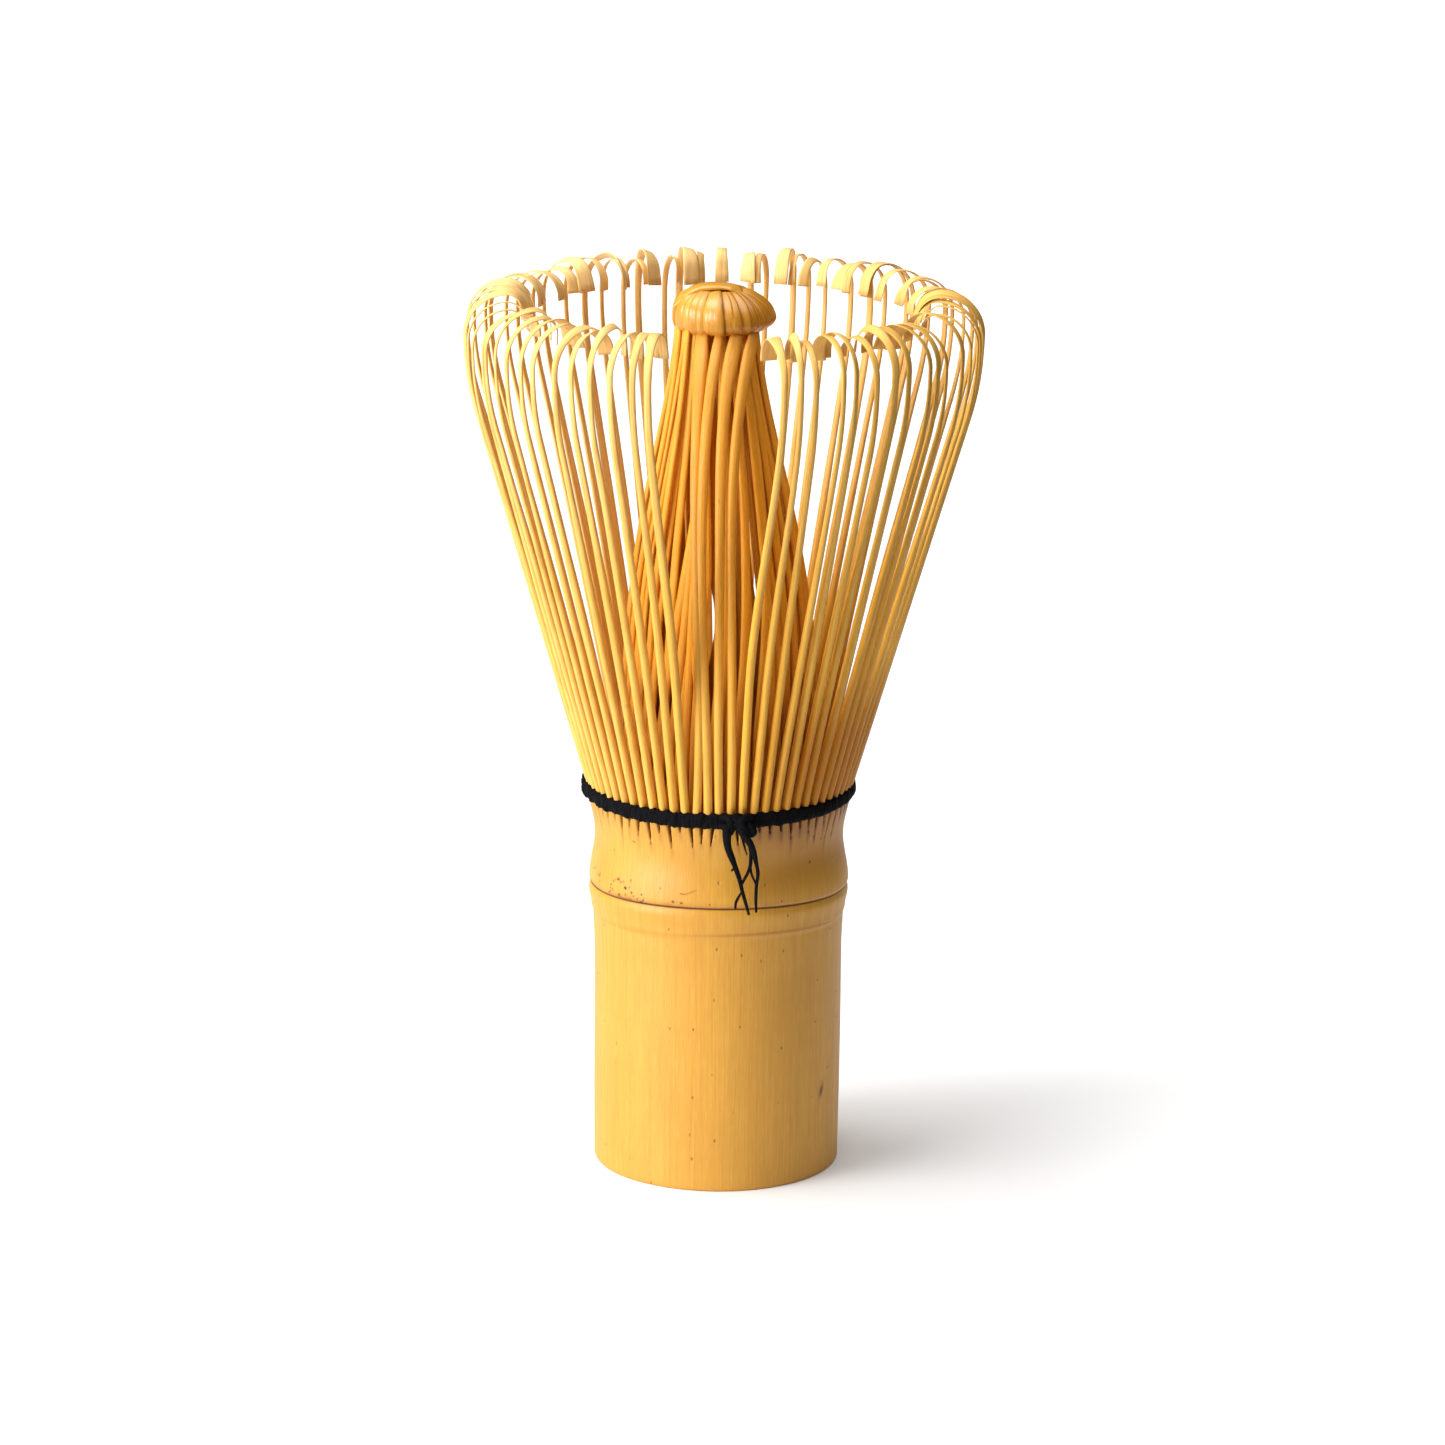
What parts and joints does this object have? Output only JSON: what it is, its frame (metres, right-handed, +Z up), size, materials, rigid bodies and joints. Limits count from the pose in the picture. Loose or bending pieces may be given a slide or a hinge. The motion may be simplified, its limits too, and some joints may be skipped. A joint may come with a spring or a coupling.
{
  "type": "bamboo tea whisk",
  "caption": "Bamboo tea whisk: hollow handle with a node, a ring of hooked outer tines, four front tines drawn in under the knob, an inner cone of tines wound into a knob, and black thread lacing.",
  "frame": {"origin": "centre of the handle's foot, on the surface that the whisk stands on", "axes": "+Z up the whisk's axis from the handle to the tines; -Y towards the knot of the lacing (front)"},
  "size_m": [0.061, 0.0606, 0.1072],
  "materials": {
    "bamboo_skin": "smooth satin culm skin with fine lengthwise fibre streaks and small brown specks",
    "bamboo_pith": "matt pale pith",
    "bamboo_outer_tines": "shaved bamboo, satin, lengthwise grain",
    "bamboo_inner_tines": "shaved bamboo, satin, golden orange",
    "bamboo_knob": "thin bamboo ribbons, satin, lengthwise grain",
    "black_thread": "matt black braided cotton thread"
  },
  "bodies": {
    "handle": {"handle_culm": "bamboo_skin", "node_diaphragm": "bamboo_pith", "tine_collar": "bamboo_skin", "lacing_band": "black_thread", "lacing_inner_run": "black_thread", "lacing_knot": "black_thread"},
    "outer_segment_01": {"outer_tines_01": "bamboo_outer_tines"},
    "outer_segment_02": {"outer_tines_02": "bamboo_outer_tines"},
    "outer_segment_03": {"outer_tines_03": "bamboo_outer_tines"},
    "outer_segment_04": {"outer_tines_04": "bamboo_outer_tines"},
    "outer_segment_05": {"outer_tines_05": "bamboo_outer_tines"},
    "outer_segment_06": {"outer_tines_06": "bamboo_outer_tines"},
    "outer_segment_07": {"outer_tines_07": "bamboo_outer_tines"},
    "outer_segment_08": {"outer_tines_08": "bamboo_outer_tines"},
    "outer_segment_09": {"outer_tines_09": "bamboo_outer_tines"},
    "outer_segment_10": {"outer_tines_10": "bamboo_outer_tines"},
    "outer_segment_11": {"outer_tines_11": "bamboo_outer_tines"},
    "outer_segment_12": {"outer_tines_12": "bamboo_outer_tines"},
    "outer_segment_13": {"outer_tines_13": "bamboo_outer_tines"},
    "outer_segment_14": {"outer_tines_14": "bamboo_outer_tines"},
    "outer_segment_15": {"outer_tines_15": "bamboo_outer_tines"},
    "outer_segment_16": {"outer_tines_16": "bamboo_outer_tines"},
    "outer_segment_17": {"outer_tines_17": "bamboo_outer_tines"},
    "inner_bundle": {"inner_tines_01": "bamboo_inner_tines", "inner_tines_02": "bamboo_inner_tines", "inner_tines_03": "bamboo_inner_tines", "inner_tines_04": "bamboo_inner_tines", "inner_tines_05": "bamboo_inner_tines", "inner_tines_06": "bamboo_inner_tines", "inner_tines_07": "bamboo_inner_tines", "inner_tines_08": "bamboo_inner_tines", "inner_tines_09": "bamboo_inner_tines", "inner_tines_10": "bamboo_inner_tines", "inner_tines_11": "bamboo_inner_tines", "inner_tines_12": "bamboo_inner_tines", "gathered_tines": "bamboo_outer_tines", "tip_knob": "bamboo_knob"},
    "thread_tails": {"thread_tail_left": "black_thread", "thread_tail_right": "black_thread"}
  },
  "joints": [
    {"name": "outer_flex_01", "type": "hinge", "parent": "handle", "child": "outer_segment_01", "pos_m": [0.00465, -0.01473, 0.04635], "axis": [0.9537, 0.3007, 0], "range_deg": [-1.5, 6], "stiffness_Nm_per_rad": 0.02},
    {"name": "outer_flex_02", "type": "hinge", "parent": "handle", "child": "outer_segment_02", "pos_m": [0.00941, -0.01226, 0.04635], "axis": [0.7934, 0.6088, 0], "range_deg": [-1.5, 6], "stiffness_Nm_per_rad": 0.02},
    {"name": "outer_flex_03", "type": "hinge", "parent": "handle", "child": "outer_segment_03", "pos_m": [0.01303, -0.0083, 0.04635], "axis": [0.5373, 0.8434, 0], "range_deg": [-1.5, 6], "stiffness_Nm_per_rad": 0.02},
    {"name": "outer_flex_04", "type": "hinge", "parent": "handle", "child": "outer_segment_04", "pos_m": [0.01508, -0.00334, 0.04635], "axis": [0.2164, 0.9763, 0], "range_deg": [-1.5, 6], "stiffness_Nm_per_rad": 0.02},
    {"name": "outer_flex_05", "type": "hinge", "parent": "handle", "child": "outer_segment_05", "pos_m": [0.01532, 0.00202, 0.04635], "axis": [-0.1305, 0.9914, 0], "range_deg": [-1.5, 6], "stiffness_Nm_per_rad": 0.02},
    {"name": "outer_flex_06", "type": "hinge", "parent": "handle", "child": "outer_segment_06", "pos_m": [0.0137, 0.00713, 0.04635], "axis": [-0.4617, 0.887, 0], "range_deg": [-1.5, 6], "stiffness_Nm_per_rad": 0.02},
    {"name": "outer_flex_07", "type": "hinge", "parent": "handle", "child": "outer_segment_07", "pos_m": [0.01044, 0.01139, 0.04635], "axis": [-0.7373, 0.6756, 0], "range_deg": [-1.5, 6], "stiffness_Nm_per_rad": 0.02},
    {"name": "outer_flex_08", "type": "hinge", "parent": "handle", "child": "outer_segment_08", "pos_m": [0.00591, 0.01427, 0.04635], "axis": [-0.9239, 0.3827, 0], "range_deg": [-1.5, 6], "stiffness_Nm_per_rad": 0.02},
    {"name": "outer_flex_09", "type": "hinge", "parent": "handle", "child": "outer_segment_09", "pos_m": [0.00067, 0.01544, 0.04635], "axis": [-0.999, 0.0436, 0], "range_deg": [-1.5, 6], "stiffness_Nm_per_rad": 0.02},
    {"name": "outer_flex_10", "type": "hinge", "parent": "handle", "child": "outer_segment_10", "pos_m": [-0.00465, 0.01473, 0.04635], "axis": [-0.9537, -0.3007, 0], "range_deg": [-1.5, 6], "stiffness_Nm_per_rad": 0.02},
    {"name": "outer_flex_11", "type": "hinge", "parent": "handle", "child": "outer_segment_11", "pos_m": [-0.00941, 0.01226, 0.04635], "axis": [-0.7934, -0.6088, 0], "range_deg": [-1.5, 6], "stiffness_Nm_per_rad": 0.02},
    {"name": "outer_flex_12", "type": "hinge", "parent": "handle", "child": "outer_segment_12", "pos_m": [-0.01303, 0.0083, 0.04635], "axis": [-0.5373, -0.8434, 0], "range_deg": [-1.5, 6], "stiffness_Nm_per_rad": 0.02},
    {"name": "outer_flex_13", "type": "hinge", "parent": "handle", "child": "outer_segment_13", "pos_m": [-0.01508, 0.00334, 0.04635], "axis": [-0.2164, -0.9763, 0], "range_deg": [-1.5, 6], "stiffness_Nm_per_rad": 0.02},
    {"name": "outer_flex_14", "type": "hinge", "parent": "handle", "child": "outer_segment_14", "pos_m": [-0.01532, -0.00202, 0.04635], "axis": [0.1305, -0.9914, 0], "range_deg": [-1.5, 6], "stiffness_Nm_per_rad": 0.02},
    {"name": "outer_flex_15", "type": "hinge", "parent": "handle", "child": "outer_segment_15", "pos_m": [-0.0137, -0.00713, 0.04635], "axis": [0.4617, -0.887, 0], "range_deg": [-1.5, 6], "stiffness_Nm_per_rad": 0.02},
    {"name": "outer_flex_16", "type": "hinge", "parent": "handle", "child": "outer_segment_16", "pos_m": [-0.01044, -0.01139, 0.04635], "axis": [0.7373, -0.6756, 0], "range_deg": [-1.5, 6], "stiffness_Nm_per_rad": 0.02},
    {"name": "outer_flex_17", "type": "hinge", "parent": "handle", "child": "outer_segment_17", "pos_m": [-0.00591, -0.01427, 0.04635], "axis": [0.9239, -0.3827, 0], "range_deg": [-1.5, 6], "stiffness_Nm_per_rad": 0.02},
    {"name": "inner_sway", "type": "hinge", "parent": "handle", "child": "inner_bundle", "pos_m": [0, 0, 0.04635], "axis": [0, 1, 0], "range_deg": [-2, 2], "stiffness_Nm_per_rad": 0.35},
    {"name": "tail_swing", "type": "hinge", "parent": "handle", "child": "thread_tails", "pos_m": [0.0025, -0.0173, 0.0442], "axis": [-1, 0, 0], "range_deg": [0, 140]}
  ]
}
